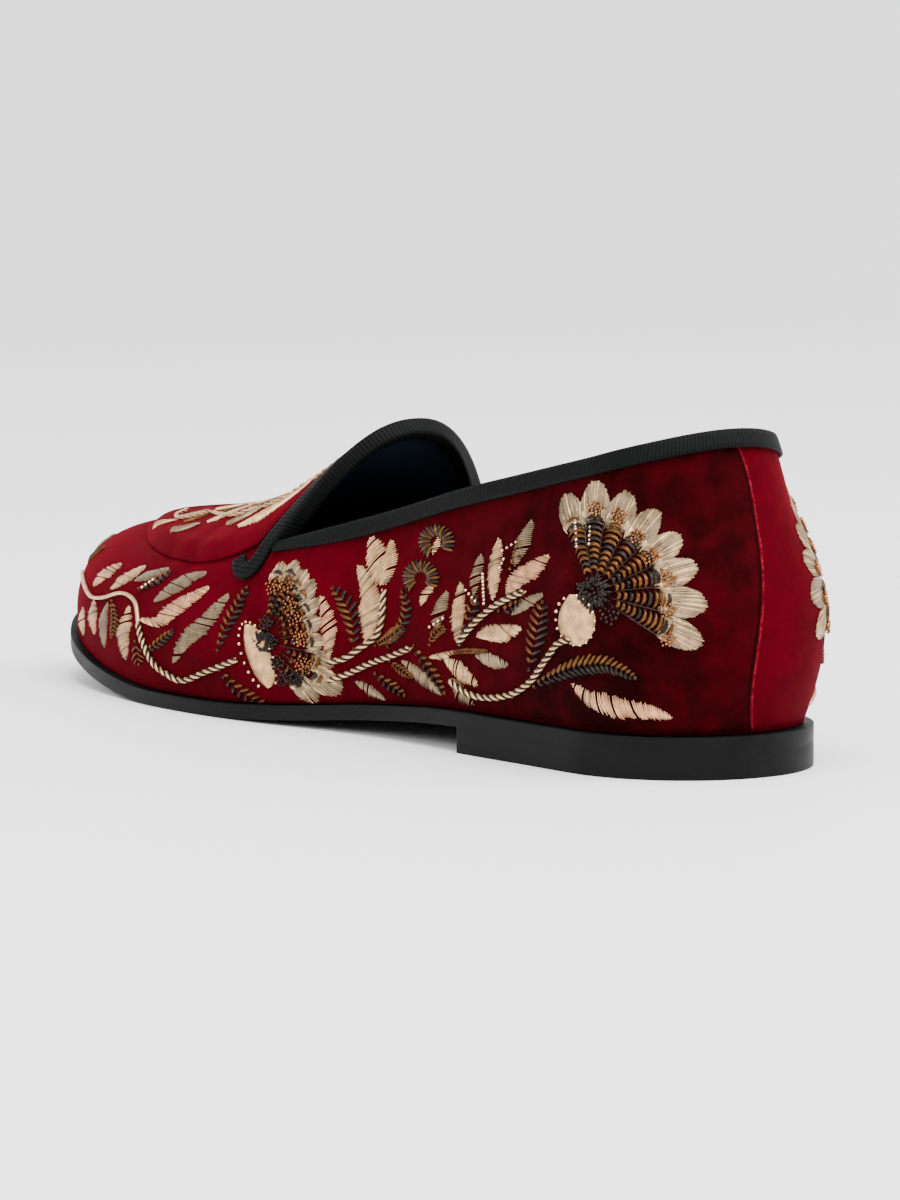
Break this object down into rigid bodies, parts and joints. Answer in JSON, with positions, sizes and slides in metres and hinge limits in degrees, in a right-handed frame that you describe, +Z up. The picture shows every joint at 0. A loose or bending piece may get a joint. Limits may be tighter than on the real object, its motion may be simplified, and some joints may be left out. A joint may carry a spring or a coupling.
{
  "type": "velvet slipper loafer",
  "caption": "Left velvet slipper loafer with a bound tongue and collar, a thin leather sole and a low heel, covered with metal-thread flower embroidery.",
  "frame": {"origin": "on the floor, under the middle of the heel", "axes": "+Z up, toe to -Y, lateral side to +X"},
  "size_m": [0.099, 0.2946, 0.0844],
  "materials": {
    "sole_leather": "black dyed leather, satin edge",
    "heel_leather": "black stacked leather heel, satin edge",
    "lining": "black smooth lining with a faint blue sheen",
    "velvet": "crimson velvet with a short pile",
    "ribbon": "black ribbed grosgrain ribbon"
  },
  "bodies": {
    "root": {"outsole": "sole_leather", "heel": "heel_leather", "insole": "lining", "upper": "velvet", "apron": "velvet", "tongue_binding": "ribbon", "collar_binding": "ribbon"}
  },
  "joints": []
}
